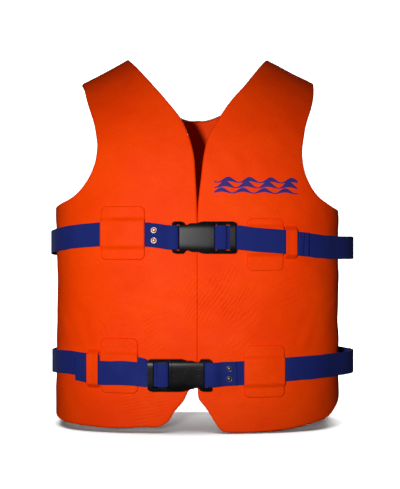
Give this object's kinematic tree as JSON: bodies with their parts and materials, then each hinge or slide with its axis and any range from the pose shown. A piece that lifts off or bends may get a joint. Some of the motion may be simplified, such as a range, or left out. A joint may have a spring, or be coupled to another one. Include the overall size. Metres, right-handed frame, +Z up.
{
  "type": "life jacket",
  "caption": "Sleeveless slip-on foam life jacket with a V neck, two webbing belts through sewn-on loops and side-release buckles across the front.",
  "frame": {"origin": "middle of the footprint, at the height of the lowest stretches of the back hem, on which the vest stands", "axes": "+Z up, from hem to shoulders; the chest with its buckles faces -Y; +X is to the right as seen from in front"},
  "size_m": [0.513, 0.2594, 0.6161],
  "materials": {
    "dipped_foam": "satin",
    "webbing": "matte",
    "buckle_plastic": "satin",
    "rivet_metal": "satin"
  },
  "bodies": {
    "root": {"back_panel": "dipped_foam", "front_panel_left": "dipped_foam", "front_panel_right": "dipped_foam", "upper_loop_left": "dipped_foam", "upper_loop_right": "dipped_foam", "lower_loop_left": "dipped_foam", "lower_loop_right": "dipped_foam", "upper_keeper": "dipped_foam", "lower_keeper": "dipped_foam", "upper_belt": "webbing", "lower_belt": "webbing", "upper_belt_tail": "webbing", "lower_belt_tail": "webbing", "upper_rivet_top": "rivet_metal", "upper_rivet_bottom": "rivet_metal", "lower_rivet_top": "rivet_metal", "lower_rivet_bottom": "rivet_metal", "upper_buckle_socket": "buckle_plastic", "lower_buckle_socket": "buckle_plastic"},
    "upper_plug": {"upper_buckle_plug": "buckle_plastic", "upper_adjuster_strap": "webbing"},
    "upper_arm_top": {"upper_latch_arm_top": "buckle_plastic"},
    "upper_arm_bottom": {"upper_latch_arm_bottom": "buckle_plastic"},
    "lower_plug": {"lower_buckle_plug": "buckle_plastic", "lower_adjuster_strap": "webbing"},
    "lower_arm_top": {"lower_latch_arm_top": "buckle_plastic"},
    "lower_arm_bottom": {"lower_latch_arm_bottom": "buckle_plastic"}
  },
  "joints": [
    {"name": "upper_buckle_release", "type": "slide", "parent": "root", "child": "upper_plug", "axis": [1, 0, 0], "range_m": [0, 0.038]},
    {"name": "upper_latch_top", "type": "hinge", "parent": "upper_plug", "child": "upper_arm_top", "pos_m": [0.0109, -0.12375, 0.329], "axis": [0, -1, 0], "range_deg": [0, 8], "stiffness_Nm_per_rad": 0.3},
    {"name": "upper_latch_bottom", "type": "hinge", "parent": "upper_plug", "child": "upper_arm_bottom", "pos_m": [0.0109, -0.12375, 0.295], "axis": [0, 1, 0], "range_deg": [0, 8], "stiffness_Nm_per_rad": 0.3},
    {"name": "lower_buckle_release", "type": "slide", "parent": "root", "child": "lower_plug", "axis": [-1, 0, 0], "range_m": [0, 0.038]},
    {"name": "lower_latch_top", "type": "hinge", "parent": "lower_plug", "child": "lower_arm_top", "pos_m": [-0.0459, -0.12375, 0.1125], "axis": [0, 1, 0], "range_deg": [0, 8], "stiffness_Nm_per_rad": 0.3},
    {"name": "lower_latch_bottom", "type": "hinge", "parent": "lower_plug", "child": "lower_arm_bottom", "pos_m": [-0.0459, -0.12375, 0.0785], "axis": [0, -1, 0], "range_deg": [0, 8], "stiffness_Nm_per_rad": 0.3}
  ],
  "couplings": [
    {"joint": "upper_latch_bottom", "follows": "upper_latch_top", "ratio": 1},
    {"joint": "lower_latch_bottom", "follows": "lower_latch_top", "ratio": 1}
  ]
}
